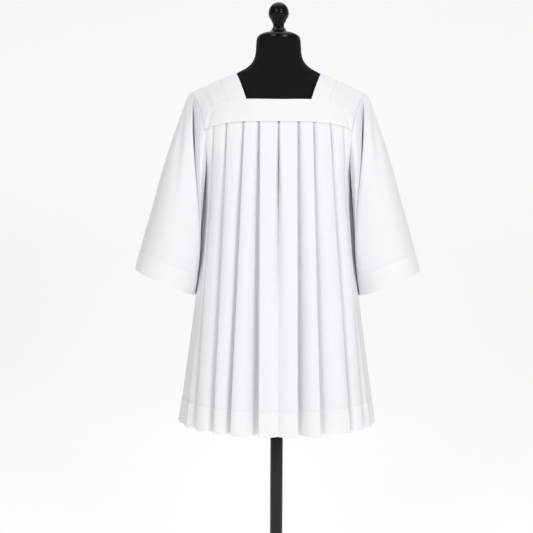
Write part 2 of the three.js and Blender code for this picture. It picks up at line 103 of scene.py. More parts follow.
class Shader:
    """A material's node tree, built by expressions."""

    def __init__(self, name: str) -> None:
        """Start an empty material.

        Args:
            name: the material's name.
        """
        self.material = bpy.data.materials.new(name)
        self.material.use_nodes = True
        self.tree = self.material.node_tree
        self.tree.nodes.clear()

    def node(self, kind: str, settings: dict[str, Any] | None = None, output: int | str = 0,
             **sockets: Any) -> Wire:
        """Add any node.

        Args:
            kind: the node's type.
            settings: attributes that are set first.
            output: the socket that is handed back.
            sockets: input names, or numbers after an underscore, with their values or wires.

        Returns:
            The chosen output.
        """
        made = self.tree.nodes.new(kind)
        for key, value in (settings or {}).items():
            setattr(made, key, value)
        for key, value in sockets.items():
            name = key.replace("_", " ").strip()
            slot = made.inputs[int(name) if name.isdigit() else name]
            if isinstance(value, Wire):
                self.tree.links.new(value.socket, slot)
            else:
                slot.default_value = value
        return Wire(self, made.outputs[output])

    def place(self) -> Wire:
        """The point's own coordinates in metres, as a vector.

        Returns:
            The Object output of a coordinate node.
        """
        return self.node("ShaderNodeTexCoord", None, "Object")

    def math(self, operation: str, *values: "Wire | float") -> Wire:
        """Add one Math node.

        Args:
            operation: its operation.
            values: one or two wires or numbers.

        Returns:
            The result.
        """
        return self.node("ShaderNodeMath", {"operation": operation},
                         **{f"_{i}": value for i, value in enumerate(values)})

    def mix(self, factor: "Wire | float", low: Any, high: Any) -> Wire:
        """Blend two colours.

        Args:
            factor: 0 for the first, 1 for the second.
            low: the first, a wire or a colour.
            high: the second.

        Returns:
            The blend.
        """
        return self.node("ShaderNodeMix", {"data_type": "RGBA"}, 2, _0=factor, _6=low, _7=high)

    def scaled(self, vector: Wire, scale: Sequence[float]) -> Wire:
        """Multiply a vector's parts.

        Args:
            vector: the vector.
            scale: a number for each part.

        Returns:
            The scaled vector.
        """
        return self.node("ShaderNodeVectorMath", {"operation": "MULTIPLY"}, 0, _0=vector,
                         _1=tuple(scale))

    def noise(self, vector: Wire, scale: float, detail: float = 2.0) -> Wire:
        """Smooth noise of about 0 to 1.

        Args:
            vector: where it is sampled.
            scale: its scale, in turns for each metre.
            detail: how many finer layers it has.

        Returns:
            The noise.
        """
        return self.node("ShaderNodeTexNoise", None, "Fac", Vector=vector, Scale=scale,
                         Detail=detail)

    def bump(self, height: Wire, distance: float, strength: float = 1.0,
             normal: Wire | None = None) -> Wire:
        """Turn a height into a normal.

        Args:
            height: 0 to 1.
            distance: depth in metres of a height of 1.
            strength: share of the effect.
            normal: the normal that it adds to.

        Returns:
            The normal.
        """
        sockets: dict[str, Any] = {"Height": height, "Distance": distance, "Strength": strength}
        if normal is not None:
            sockets["Normal"] = normal
        return self.node("ShaderNodeBump", None, "Normal", **sockets)

    def finish(self, varying: dict[str, Wire], fixed: dict[str, Any]) -> Material:
        """Close the tree with a Principled surface.

        Args:
            varying: sockets that take a wire.
            fixed: sockets that take one value all over.

        Returns:
            The finished material.
        """
        surface = self.tree.nodes.new("ShaderNodeBsdfPrincipled")
        for key, value in fixed.items():
            surface.inputs[key].default_value = value
        for key, wire in varying.items():
            self.tree.links.new(wire.socket, surface.inputs[key])
        end = self.tree.nodes.new("ShaderNodeOutputMaterial")
        self.tree.links.new(surface.outputs[0], end.inputs["Surface"])
        return self.material


@dataclass(frozen=True)
class ClothFinish:
    """Fine plain-woven white cloth, brighter where it is doubled."""

    single: Colour = (0.835, 0.838, 0.872, 1.0)
    doubled: Colour = (0.862, 0.863, 0.89, 1.0)
    thread_pitch: float = 0.55 * MM

    def make(self, name: str) -> Material:
        """Build the material on the cloth's own cut coordinates.

        Args:
            name: the material's name.

        Returns:
            The material.
        """
        s = Shader(name)
        cut = s.node("ShaderNodeUVMap", {"uv_map": "cut"})
        layers = s.node("ShaderNodeAttribute", {"attribute_name": "layers"}, "Fac")
        place = s.place()
        slubs = s.noise(s.scaled(cut, (900.0, 60.0, 1.0)), 1.0, 3.0)
        cloud = s.noise(place, 14.0, 3.0)
        tone = 0.97 + 0.02 * slubs + 0.02 * cloud
        colour = s.mix(layers, self.single, self.doubled)
        shade = s.node("ShaderNodeVectorMath", {"operation": "SCALE"}, 0, _0=colour, Scale=tone)
        turns = math.pi / self.thread_pitch
        parts = s.node("ShaderNodeSeparateXYZ", None, 0, Vector=cut)
        across = Wire(s, parts.socket.node.outputs[0])
        along = Wire(s, parts.socket.node.outputs[1])
        warp = s.math("SINE", across * turns)
        weft = s.math("SINE", along * turns)
        weave = 0.5 + 0.5 * warp * weft
        crumple = s.noise(place, 55.0, 3.0)
        normal = s.bump(crumple, 0.4 * MM, 0.2)
        normal = s.bump(weave, 0.05 * MM, 0.3, normal)
        rough = 0.84 + 0.08 * slubs
        return s.finish({"Base Color": shade, "Roughness": rough, "Normal": normal},
                        {"Sheen Weight": 0.12, "Sheen Roughness": 0.5,
                         "Specular IOR Level": 0.25})


@dataclass(frozen=True)
class ThreadFinish:
    """Spun white sewing thread."""

    colour: Colour = (0.86, 0.86, 0.88, 1.0)

    def make(self, name: str) -> Material:
        """Build the material with a fine twist.

        Args:
            name: the material's name.

        Returns:
            The material.
        """
        s = Shader(name)
        place = s.place()
        ply = s.noise(place, 2500.0, 1.0)
        colour = s.mix(ply * 0.3, self.colour, (0.7, 0.7, 0.74, 1.0))
        return s.finish({"Base Color": colour, "Normal": s.bump(ply, 0.05 * MM, 0.5)},
                        {"Roughness": 0.7})


@dataclass(frozen=True)
class CoverFinish:
    """Matte black jersey stretched over the form."""

    colour: Colour = (0.004, 0.004, 0.0045, 1.0)

    def make(self, name: str) -> Material:
        """Build the material with a fine knit grain.

        Args:
            name: the material's name.

        Returns:
            The material.
        """
        s = Shader(name)
        place = s.place()
        ribs = s.noise(s.scaled(place, (1600.0, 1600.0, 500.0)), 1.0, 2.0)
        cloud = s.noise(place, 9.0, 2.0)
        colour = s.mix(ribs * 0.5 + cloud * 0.3, self.colour, (0.009, 0.009, 0.01, 1.0))
        return s.finish({"Base Color": colour, "Roughness": 0.82 + 0.12 * ribs,
                         "Normal": s.bump(ribs, 0.2 * MM, 0.6)},
                        {"Sheen Weight": 0.04, "Sheen Roughness": 0.4,
                         "Specular IOR Level": 0.12})


@dataclass(frozen=True)
class GlossFinish:
    """Polished black lacquer on turned wood, or satin enamel on steel."""

    colour: Colour = (0.002, 0.002, 0.0024, 1.0)
    smooth: float = 0.12
    worn: float = 0.24
    coat: float = 0.05

    def make(self, name: str) -> Material:
        """Build the material with faint smears in its polish.

        Args:
            name: the material's name.

        Returns:
            The material.
        """
        s = Shader(name)
        place = s.place()
        smear = s.noise(s.scaled(place, (60.0, 60.0, 18.0)), 1.0, 4.0)
        dust = s.noise(place, 400.0, 2.0) ** 3.0
        colour = s.mix(dust * 0.12, self.colour, (0.03, 0.03, 0.032, 1.0))
        return s.finish({"Base Color": colour,
                         "Roughness": self.smooth + (self.worn - self.smooth) * smear,
                         "Normal": s.bump(smear, 0.15 * MM, 0.15)},
                        {"Coat Weight": self.coat, "Coat Roughness": 0.06,
                         "Specular IOR Level": 0.16})


@dataclass(frozen=True)
class BackdropFinish:
    """Plain pale paper that glows a little, so that it stays even."""

    colour: Colour = (0.4, 0.4, 0.395, 1.0)
    light: Colour = (1.0, 0.991, 0.974, 1.0)
    glow: float = 0.67

    def make(self, name: str) -> Material:
        """Build the material with a barely seen paper tooth.

        Args:
            name: the material's name.

        Returns:
            The material.
        """
        s = Shader(name)
        place = s.place()
        tooth = s.noise(place, 120.0, 2.0)
        colour = s.mix(tooth * 0.2, self.colour, (0.385, 0.385, 0.38, 1.0))
        return s.finish({"Base Color": colour},
                        {"Roughness": 0.95, "Specular IOR Level": 0.0,
                         "Emission Color": self.light, "Emission Strength": self.glow})


# numpy surfaces
def lerp(low: Any, high: Any, t: Any) -> Any:
    """Straight blend: low + (high - low) t.

    Args:
        low: value at t = 0.
        high: value at t = 1.
        t: share of the way.

    Returns:
        The blend.
    """
    return low + (high - low) * t


def smooth(t: Any) -> Any:
    """Smooth step: t squared times (3 - 2 t).

    Args:
        t: any value, held to 0..1.

    Returns:
        0 to 1.
    """
    t = np.clip(t, 0.0, 1.0)
    return t * t * (3.0 - 2.0 * t)


def hump(distance: Any, reach: float) -> Any:
    """Bell curve: exp(-(distance / reach) squared).

    Args:
        distance: how far from its middle.
        reach: where it has fallen to 1 / e.

    Returns:
        1 in the middle, falling to 0.
    """
    return np.exp(-(distance / reach) ** 2)


def spline(points: Array, count: int, closed: bool = False) -> Array:
    """Sample a smooth curve through control points.

    Catmull-Rom: in each interval the cubic through its two ends whose slopes are half the chord between
    their neighbours.

    Args:
        points: control points, shape (n, d) or (n, ..., d) with the curve along the first axis.
        count: samples for each interval.
        closed: whether the last point leads back to the first.

    Returns:
        The samples, with the last control point added when the curve is open.
    """
    n = len(points)
    index = np.arange(n if closed else n - 1)
    mode = "wrap" if closed else "clip"
    before, start, end, after = (np.take(points, index + k, axis=0, mode=mode)[:, None]
                                 for k in (-1, 0, 1, 2))
    shape = (1, count) + (1,) * (points.ndim - 1)
    t = (np.arange(count) / count).reshape(shape)
    out = 0.5 * (2 * start + (end - before) * t + (2 * before - 5 * start + 4 * end - after) * t ** 2
                 + (3 * start - before - 3 * end + after) * t ** 3)
    out = out.reshape((-1,) + points.shape[1:])
    return out if closed else np.concatenate([out, points[-1:]])


@dataclass
class Surface:
    """A grid of points on the outside of a piece of cloth.

    Rows run down and columns run anticlockwise seen from above.
    """

    points: Array
    layers: Array
    closed: bool = False

    def steps(self, axis: int) -> Array:
        """Central difference of the points.

        Args:
            axis: 0 for down, 1 for across.

        Returns:
            One step for each point.
        """
        if axis == 1 and self.closed:
            return np.roll(self.points, -1, 1) - np.roll(self.points, 1, 1)
        return np.gradient(self.points, axis=axis)

    def normals(self) -> Array:
        """Unit outward normals: the way down crossed with the way across."""
        normal = np.cross(self.steps(0), self.steps(1))
        return normal / np.maximum(np.linalg.norm(normal, axis=2, keepdims=True), 1e-12)

    def cut(self) -> Array:
        """Distances on the flat cloth, along each row and down each column."""
        points = self.points
        if self.closed:
            points = np.concatenate([points, points[:, :1]], axis=1)
        across = np.linalg.norm(np.diff(points, axis=1), axis=2).cumsum(axis=1)
        down = np.linalg.norm(np.diff(points, axis=0), axis=2).cumsum(axis=0)
        across = np.pad(across, ((0, 0), (1, 0)))
        down = np.pad(down, ((1, 0), (0, 0)))
        return np.stack([across, down], axis=2)


def quads(rows: int, columns: int, closed: bool) -> tuple[Array, Array]:
    """Number the corners of a grid's quads.

    Args:
        rows: rows of points.
        columns: columns of points.
        closed: whether the last column joins the first.

    Returns:
        The corners, and those of the cut grid, which has one more column where the grid is closed.
    """
    j, i = np.meshgrid(np.arange(rows - 1), np.arange(columns if closed else columns - 1),
                       indexing="ij")
    wide = columns + 1 if closed else columns
    corners = [(j, i), (j + 1, i), (j + 1, i + 1), (j, i + 1)]
    faces = np.stack([a * columns + b % columns for a, b in corners], axis=2).reshape(-1, 4)
    cuts = np.stack([a * wide + b for a, b in corners], axis=2).reshape(-1, 4)
    return faces, cuts


def make_object(name: str, points: Array, faces: Array) -> Piece:
    """Put vertices and equal-sided faces into a new smooth object at the origin.

    Args:
        name: its name.
        points: the vertices.
        faces: rows of corner numbers, anticlockwise from outside.

    Returns:
        The object.
    """
    mesh = bpy.data.meshes.new(name)
    sides = faces.shape[1]
    mesh.vertices.add(len(points))
    mesh.vertices.foreach_set("co", points.astype(np.float32).ravel())
    mesh.loops.add(faces.size)
    mesh.loops.foreach_set("vertex_index", faces.astype(np.int32).ravel())
    mesh.polygons.add(len(faces))
    mesh.polygons.foreach_set("loop_start", np.arange(0, faces.size, sides, dtype=np.int32))
    mesh.polygons.foreach_set("use_smooth", np.ones(len(faces), dtype=bool))
    mesh.update(calc_edges=True)
    mesh.validate()
    piece = bpy.data.objects.new(name, mesh)
    bpy.context.collection.objects.link(piece)
    return piece


def cloth_wall(name: str, surface: Surface, thickness: Array | float) -> Piece:
    """Close a surface into a thin wall with rims.

    The inner face is each outer point moved in along its normal by the thickness.

    Args:
        name: the piece's name.
        surface: its outer face.
        thickness: one value, or one for each row.

    Returns:
        The new object, with its cut coordinates and layer mask.
    """
    rows, columns = surface.points.shape[:2]
    depth = np.broadcast_to(np.asarray(thickness, dtype=float), (rows,))[:, None, None]
    inner = surface.points - surface.normals() * depth
    points = np.concatenate([surface.points.reshape(-1, 3), inner.reshape(-1, 3)])
    faces, cuts = quads(rows, columns, surface.closed)
    total = rows * columns
    grid = np.arange(total).reshape(rows, columns)
    wide = columns + 1 if surface.closed else columns
    cut_grid = np.arange(rows * wide).reshape(rows, wide)
    loops = [faces, faces[:, ::-1] + total]
    cut_loops = [cuts, cuts[:, ::-1]]

    def rim(edge: Array, cut_edge: Array) -> None:
        """Add the strip of quads that joins the two faces along one edge."""
        loops.append(np.stack([edge[:-1], edge[1:], edge[1:] + total, edge[:-1] + total], axis=1))
        cut_loops.append(np.stack([cut_edge[:-1], cut_edge[1:], cut_edge[1:], cut_edge[:-1]], axis=1))

    around = np.append(np.arange(columns), 0) if surface.closed else np.arange(columns)
    rim(grid[0, around], cut_grid[0])
    rim(grid[-1, around][::-1], cut_grid[-1][::-1])
    if not surface.closed:
        rim(grid[::-1, 0], cut_grid[::-1, 0])
        rim(grid[:, -1], cut_grid[:, -1])
    piece = make_object(name, points, np.concatenate(loops))
    uv = piece.data.uv_layers.new(name="cut")
    flat_cut = surface.cut().reshape(-1, 2)[np.concatenate(cut_loops).ravel()]
    uv.data.foreach_set("uv", flat_cut.astype(np.float32).ravel())
    mask = piece.data.attributes.new("layers", "FLOAT", "POINT")
    layers = np.broadcast_to(surface.layers, (rows, columns)).astype(np.float32).ravel()
    mask.data.foreach_set("value", np.tile(layers, 2))
    return piece


def lofted(name: str, rings: Array) -> Piece:
    """Close a stack of rings into a solid, welding the points that meet on the axis.

    Args:
        name: the piece's name.
        rings: points of shape (rings, points, 3), from the top down and anticlockwise from above. The
            first and the last ring have no radius.

    Returns:
        The new object.
    """
    faces, _ = quads(*rings.shape[:2], True)
    piece = make_object(name, rings.reshape(-1, 3), faces)
    mesh = bmesh.new()
    mesh.from_mesh(piece.data)
    bmesh.ops.remove_doubles(mesh, verts=mesh.verts, dist=1e-6)
    mesh.to_mesh(piece.data)
    mesh.free()
    return piece


def turned(name: str, profile: Array, segments: int = 96, oval: float = 1.0) -> Piece:
    """Turn a profile about the Z axis: each ring is its radius times (cos, sin) of even angles.

    Args:
        name: the piece's name.
        profile: (radius, height) points from the bottom to the top, both on the axis.
        segments: points in each ring.
        oval: depth of the rings against their width.

    Returns:
        The new object.
    """
    angle = np.arange(segments) / segments * 2 * np.pi
    ring = np.stack([np.cos(angle), oval * np.sin(angle), np.zeros(segments)], axis=1)
    up = np.array([0.0, 0.0, 1.0])
    return lofted(name, profile[::-1, :1, None] * ring + profile[::-1, 1:, None] * up)


# the garment's cut
@dataclass(frozen=True)
class Pleat:
    """Where a pleat's folded edge runs, and how deep it stands at the hem."""

    top: float
    hem: float
    depth: float


LEFT_PLEATS = (Pleat(45 * MM, 45 * MM, 30 * MM), Pleat(82 * MM, 112 * MM, 25 * MM),
               Pleat(123 * MM, 153 * MM, 22 * MM), Pleat(154 * MM, 199 * MM, 17 * MM))
RIGHT_PLEATS = (Pleat(45 * MM, 48 * MM, 29 * MM), Pleat(82 * MM, 102 * MM, 27 * MM),
                Pleat(123 * MM, 175 * MM, 21 * MM), Pleat(154 * MM, 210 * MM, 15 * MM))


class Facing(Enum):
    """Which side of the garment a piece is on, as the sign of its Y."""

    BACK = -1
    FRONT = 1


@dataclass(frozen=True)
class Side:
    """Heights and pleats of the back or the front."""

    facing: Facing
    neck_z: float
    neck_half: float
    seam_end_z: float
    yoke_z: float
    yoke_end_z: float
    left: tuple[Pleat, ...]
    right: tuple[Pleat, ...]

    @property
    def sign(self) -> int:
        """-1 on the back, 1 on the front."""
        return self.facing.value

    @classmethod
    def from_frame(cls, facing: Facing, neck_half: float, seam_drop: float) -> "Side":
        """Read a side's heights from its yoke band and its pleated panel.

        Args:
            facing: back or front.
            neck_half: half width of the square neck at its lower edge.
            seam_drop: how far the band's upper seam falls from the neck to the armhole.

        Returns:
            The side.
        """
        word = facing.name.lower()
        band_low, band_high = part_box(f"yoke_band_{word}")
        panel_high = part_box(f"pleated_{word}")[1]
        pleats = (LEFT_PLEATS, RIGHT_PLEATS) if facing is Facing.BACK else (RIGHT_PLEATS, LEFT_PLEATS)
        return cls(facing, band_high[2], neck_half, band_high[2] - seam_drop,
                   panel_high[2] + 0.5 * MM, band_low[2], *pleats)


class Shape:
    """The surfaces that the garment's pieces lie on."""

    chest_half_width = 183 * MM
    flare_z = 1120 * MM
    flare_power = 1.27
    underarm_z = 1190 * MM
    yoke_ring_half_width = 225 * MM
    power = 2.1
    hem_band = 60 * MM
    sleeve_hem = 48 * MM
    cuff_half_depth = 88 * MM
    cuff_outer_z = 959 * MM
    cuff_inner_x = 206.5 * MM
    hem_dip = 6 * MM
    strip_top_x = 146 * MM
    strip_low_x = 123 * MM
    seam_at = 0.3
    band_end_at = 0.48
    drop_power = 5

    def __init__(self) -> None:
        """Read the driving sizes from the frame."""
        panel_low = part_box("pleated_back")[0]
        band_low, band_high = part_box("yoke_band_back")
        strip_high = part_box("neck_strip_right")[1]
        shoulder_low, shoulder_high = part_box("shoulder_panel_right")
        sleeve_low, sleeve_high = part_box("sleeve_right")
        self.hem_z = panel_low[2] + self.hem_dip
        self.hem_half_width = -panel_low[0]
        self.hem_half_depth = -panel_low[1]
        self.yoke_half_depth = -band_low[1]
        self.armhole_seam_x = band_high[0]
        self.armhole_band_x = band_high[0] - 10 * MM
        self.neck_x = self.strip_top_x - 39 * MM
        self.neck_z = strip_high[2]
        self.shoulder_x = shoulder_high[0]
        self.shoulder_z = self.neck_z - 47.8 * MM
        self.cuff_outer_x = sleeve_high[0]
        self.cuff_inner_z = sleeve_low[2]
        self.back = Side.from_frame(Facing.BACK, 78 * MM, 23 * MM)
        self.front = Side.from_frame(Facing.FRONT, 74 * MM, 14 * MM)

    # rings round the body
    def half_width(self, side: Side, z: Array) -> Array:
        """Half width: wide at the yoke, even at the chest, then flaring by a power of the drop."""
        rise = smooth((z - self.underarm_z) / (side.yoke_z - self.underarm_z))
        drop = np.clip((self.flare_z - z) / (self.flare_z - self.hem_z), 0.0, 1.0)
        flare = (self.hem_half_width - self.chest_half_width) * drop ** self.flare_power
        return lerp(self.chest_half_width, self.yoke_ring_half_width, rise) + flare

    def half_depth(self, side: Side, z: Array) -> Array:
        """Half depth: growing almost evenly from the yoke to the hem."""
        drop = np.clip((side.yoke_z - z) / (side.yoke_z - self.hem_z), 0.0, 1.0)
        return lerp(self.yoke_half_depth, self.hem_half_depth, drop ** 0.95)

    def ring(self, side: Side, angle: Array, z: Array) -> Array:
        """Points of a superellipse at an angle from the side seam and a height."""
        width, depth = self.half_width(side, z), self.half_depth(side, z)
        c, s = np.maximum(np.cos(angle), 0.0), np.maximum(np.sin(angle), 0.0)
        reach = ((c / width) ** self.power + (s / depth) ** self.power) ** (-1 / self.power)
        return np.stack(np.broadcast_arrays(reach * c, side.sign * reach * s, z), axis=-1)

    def ring_angle(self, side: Side, x: Array, z: Array) -> Array:
        """Angle at which the ring has a given x."""
        across = np.clip(np.abs(x) / self.half_width(side, z), 0.0, 1.0)
        back = (1 - across ** self.power) ** (1 / self.power)
        return np.arctan2(back * self.half_depth(side, z), np.abs(x))

    def ring_normal(self, side: Side, p: Array) -> Array:
        """Level outward normals of the rings at their points."""
        width, depth = self.half_width(side, p[..., 2]), self.half_depth(side, p[..., 2])
        n = np.stack([(np.abs(p[..., 0]) / width) ** (self.power - 1) / width,
                      side.sign * (np.abs(p[..., 1]) / depth) ** (self.power - 1) / depth,
                      np.zeros_like(width)], axis=-1)
        return n / np.linalg.norm(n, axis=-1, keepdims=True)

    # yoke
    def ridge_z(self, x: Array) -> Array:
        """Height of the shoulder line, falling evenly outwards."""
        slope = (self.neck_z - self.shoulder_z) / (self.shoulder_x - self.neck_x)
        return self.neck_z - (x - self.neck_x) * slope

    def band_low_z(self, side: Side, x: Array) -> Array:
        """Height of the band's lower edge, level and then turning down at the armhole."""
        return side.yoke_z - (side.yoke_z - side.yoke_end_z) * (x / self.armhole_band_x) ** self.drop_power

    def band_top_z(self, side: Side, x: Array) -> Array:
        """Height of the neck edge, and of the seam that falls from its corner as a square."""
        beyond = np.maximum(0.0, x - side.neck_half) / (self.armhole_seam_x - side.neck_half)
        return side.neck_z - (side.neck_z - side.seam_end_z) * beyond ** 2

    def yoke(self, side: Side, x: Array, z: Array, proud: float = 0.0) -> Array:
        """Points of the yoke: at each x a quarter ellipse from the ridge to the band's lower edge."""
        across = (x / self.yoke_ring_half_width) ** self.power
        reach = self.yoke_half_depth * (1 - across) ** (1 / self.power) + proud
        low, ridge = self.band_low_z(side, x), self.ridge_z(x) + proud
        rise = np.clip((z - low) / (ridge - low), -1.0, 1.0)
        y = side.sign * reach * np.sqrt(1 - rise ** 2)
        return np.stack(np.broadcast_arrays(x, y, z), axis=-1)

    # armhole
    def lower_armhole(self, side: Side, g: Array) -> tuple[Array, Array]:
        """Angle and height of the armhole from the band's end (0) to the underarm (1)."""
        start = self.ring_angle(side, self.armhole_band_x, side.yoke_end_z)
        turn = g * np.pi / 2
        z = side.yoke_end_z - (side.yoke_end_z - self.underarm_z) * np.sin(turn)
        return start * np.cos(turn), z

    def armhole(self, side: Side, f: Array) -> Array:
        """Points of the armhole from the shoulder (0) to the underarm (1)."""
        f = np.asarray(f, dtype=float)
        down = 1 - np.cos(np.clip(f / self.seam_at, 0, 1) * np.pi / 2)
        x = lerp(self.shoulder_x, self.armhole_seam_x, down)
        top = self.yoke(side, x, lerp(self.ridge_z(x), self.band_top_z(side, x), down))
        along = np.clip((f - self.seam_at) / (self.band_end_at - self.seam_at), 0, 1)
        x = lerp(self.armhole_seam_x, self.armhole_band_x, along)
        band = self.yoke(side, x, lerp(side.seam_end_z, side.yoke_end_z, along))
        g = np.clip((f - self.band_end_at) / (1 - self.band_end_at), 0, 1)
        low = self.ring(side, *self.lower_armhole(side, g))
        f = f[..., None]
        return np.where(f < self.seam_at, top, np.where(f < self.band_end_at, band, low))

    def cuff(self, side: Side, f: Array) -> Array:
        """Points of the cuff's edge, a tilted superellipse, from its outer (0) to its inner end (1)."""
        c, s = np.cos(f * np.pi), np.sin(f * np.pi)
        bend = 2 / self.power
        along = (1 - np.sign(c) * np.abs(c) ** bend) / 2
        return np.stack([lerp(self.cuff_outer_x, self.cuff_inner_x, along),
                         side.sign * self.cuff_half_depth * np.abs(s) ** bend,
                         lerp(self.cuff_outer_z, self.cuff_inner_z, along)], axis=-1)


def mirrored(points: Array) -> Array:
    """The same points on the other side of the body.

    Args:
        points: points whose last axis is x, y, z.

    Returns:
        The points with x turned round.
    """
    return points * np.array([-1.0, 1.0, 1.0])


# sewn pieces
def settle(piece: Piece, material: Material, node: str | None = None) -> Piece:
    """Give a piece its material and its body.

    Args:
        piece: the new object.
        material: its material.
        node: the solid it stands for, if any.

    Returns:
        The same object.
    """
    piece.data.materials.append(material)
    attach(piece, ROOT)
    if node:
        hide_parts(node)
    count = sum(len(p.vertices) - 2 for p in piece.data.polygons)
    LOG.info("%s: %d triangles, from %s", piece.name, count, node)
    return piece


@dataclass
class SewnPiece:
    """What every piece of cloth shares."""

    shape: Shape
    finish: Material
    single: float = 0.7 * MM
    doubled: float = 1.5 * MM

    def dress(self, piece: Piece, node: str, flat: Pair, held: str,
              area: float) -> Piece:
        """Give a piece its material and its body, and hide the solid it stands for.

        Args:
            piece: the new object.
            node: the solid it stands for.
            flat: not used; width and length of the flat cloth, before hems are turned.
            held: not used; how the sheet is held.
            area: not used; its flat area, because the cut isn't a rectangle.

        Returns:
            The same object.
        """
        settle(piece, self.finish, node)
        return piece


def edge_roll(u: Array, width: float, depth: float = 0.35 * MM, reach: float = 1.6 * MM) -> Array:
    """How far a sewn edge turns in: the depth times exp(-distance / reach) from either end.

    Args:
        u: distances along 0..width.
        width: the far end.
        depth: how far the very edge turns in.
        reach: how soon that dies away.

    Returns:
        Offsets, negative inwards.
    """
    return -depth * (np.exp(-u / reach) + np.exp(-(width - u) / reach))


@dataclass
class YokeBand(SewnPiece):
    """The straight band across the back or the front, doubled cloth."""

    proud: float = 0.15 * MM
    columns: int = 240
    rows: int = 44

    def build(self, side: Side) -> Piece:
        """Lay the band on the yoke, with rolled edges and a soft crease at each end.

        A point at u in -1..1 across and v in 0..1 down is x = u times the half width at v, at a height
        blended between the top and low edges; depth adds the creases and the rolled edges.
        """
        shape = self.shape
        u = np.linspace(-1, 1, self.columns)[None, :]
        v = (0.5 - 0.5 * np.cos(np.linspace(0, np.pi, self.rows)))[:, None]
        half = lerp(shape.armhole_seam_x, shape.armhole_band_x, v)
        x = np.abs(u) * half
        top, low = shape.band_top_z(side, x) - 0.05 * MM * (x > side.neck_half), shape.band_low_z(side, x)
        top = top - 1.4 * MM * smooth(1.05 - x / side.neck_half)
        points = shape.yoke(side, x, lerp(top, low, v), self.proud)
        height = np.broadcast_to(top - low, x.shape)
        ripple = 0.5 * MM * np.sin(u * 17 + 1.3) * np.sin(v * np.pi) + edge_roll(v * height, height)
        line = half - lerp(30 * MM, 5 * MM, v)
        crease = -1.7 * MM * hump(x - line, 6.5 * MM) * smooth(v * 2.2)
        ridge = 0.8 * MM * hump(x - line - 9 * MM, 7 * MM) * smooth(v * 2.0)
        points[..., 1] += side.sign * (ripple + crease + ridge)
        points[..., 0] *= np.sign(u)
        if side.facing is Facing.FRONT:
            points = points[:, ::-1]
        node = f"yoke_band_{side.facing.name.lower()}"
        piece = cloth_wall(f"{node}_cloth", Surface(points, np.full((1, 1), 0.55)), self.doubled)
        return self.dress(piece, node, (0.404, 0.072), "stretched", 0.0213)


@dataclass
class ShoulderPiece(SewnPiece):
    """A piece that runs over the shoulder between the two bands."""

    columns: int = 60
    rows: int = 110

    def grid(self, inner: Pair, outer: Pair, proud: float) -> Surface:
        """Points between two edges, given by their x on the ridge and at the bands' seams.

        Rows turn from the back seam over the ridge to the front seam; the way down a side is
        1 - cos(turn), so that steps over the ridge stay even.
        """
        turn = np.linspace(np.pi / 2, -np.pi / 2, self.rows)[:, None]
        down = 1 - np.cos(turn)
        u = np.linspace(0, 1, self.columns)[None, :]
        x = lerp(lerp(*inner, down), lerp(*outer, down), u)
        halves = []
        for side in (self.shape.front, self.shape.back):
            z = lerp(self.shape.ridge_z(x) + proud, self.shape.band_top_z(side, x), down)
            halves.append(self.shape.yoke(side, x, z, proud))
        points = np.where((turn > 0)[..., None], halves[0], halves[1])
        return Surface(points, np.zeros((1, 1)))

    def build(self, name: str, right: bool, inner: Pair, outer: Pair,
              doubled: bool, flat: Pair, area: float) -> Piece:
        """Make one shoulder piece with its creases.

        Args:
            name: the solid it stands for, without its side.
            right: whether it is on +X.
            inner: inner edge's x on the ridge and at the seam.
            outer: outer edge's x on the ridge and at the seam.
            doubled: whether it is two thicknesses.
            flat: width and length of its cut.
            area: its flat area.

        Returns:
            The piece.
        """
        surface = self.grid(inner, outer, 0.2 * MM if doubled else 0.0)
        width = np.linspace(0, 1, self.columns)[None, :] * (outer[0] - inner[0])
        relief = edge_roll(width, outer[0] - inner[0], 0.22 * MM)
        turn = np.linspace(np.pi / 2, -np.pi / 2, self.rows)[:, None]
        if not doubled:
            near = outer[0] - inner[0] - width
            fall = smooth(np.abs(turn) * 1.1)
            relief = relief - 1.1 * MM * hump(near - lerp(12, 26, fall) * MM, 7.0 * MM) * fall
            relief = relief - 0.7 * MM * hump(near - lerp(28, 48, fall) * MM, 8.0 * MM) * fall
        surface.points = surface.points + surface.normals() * relief[..., None]
        surface.layers = np.full((1, 1), 0.6 if doubled else 0.3)
        if not right:
            surface.points = mirrored(surface.points)[::-1]
        word = "right" if right else "left"
        piece = cloth_wall(f"{name}_{word}_cloth", surface, self.doubled if doubled else self.single)
        return self.dress(piece, f"{name}_{word}", flat, "laid", area)


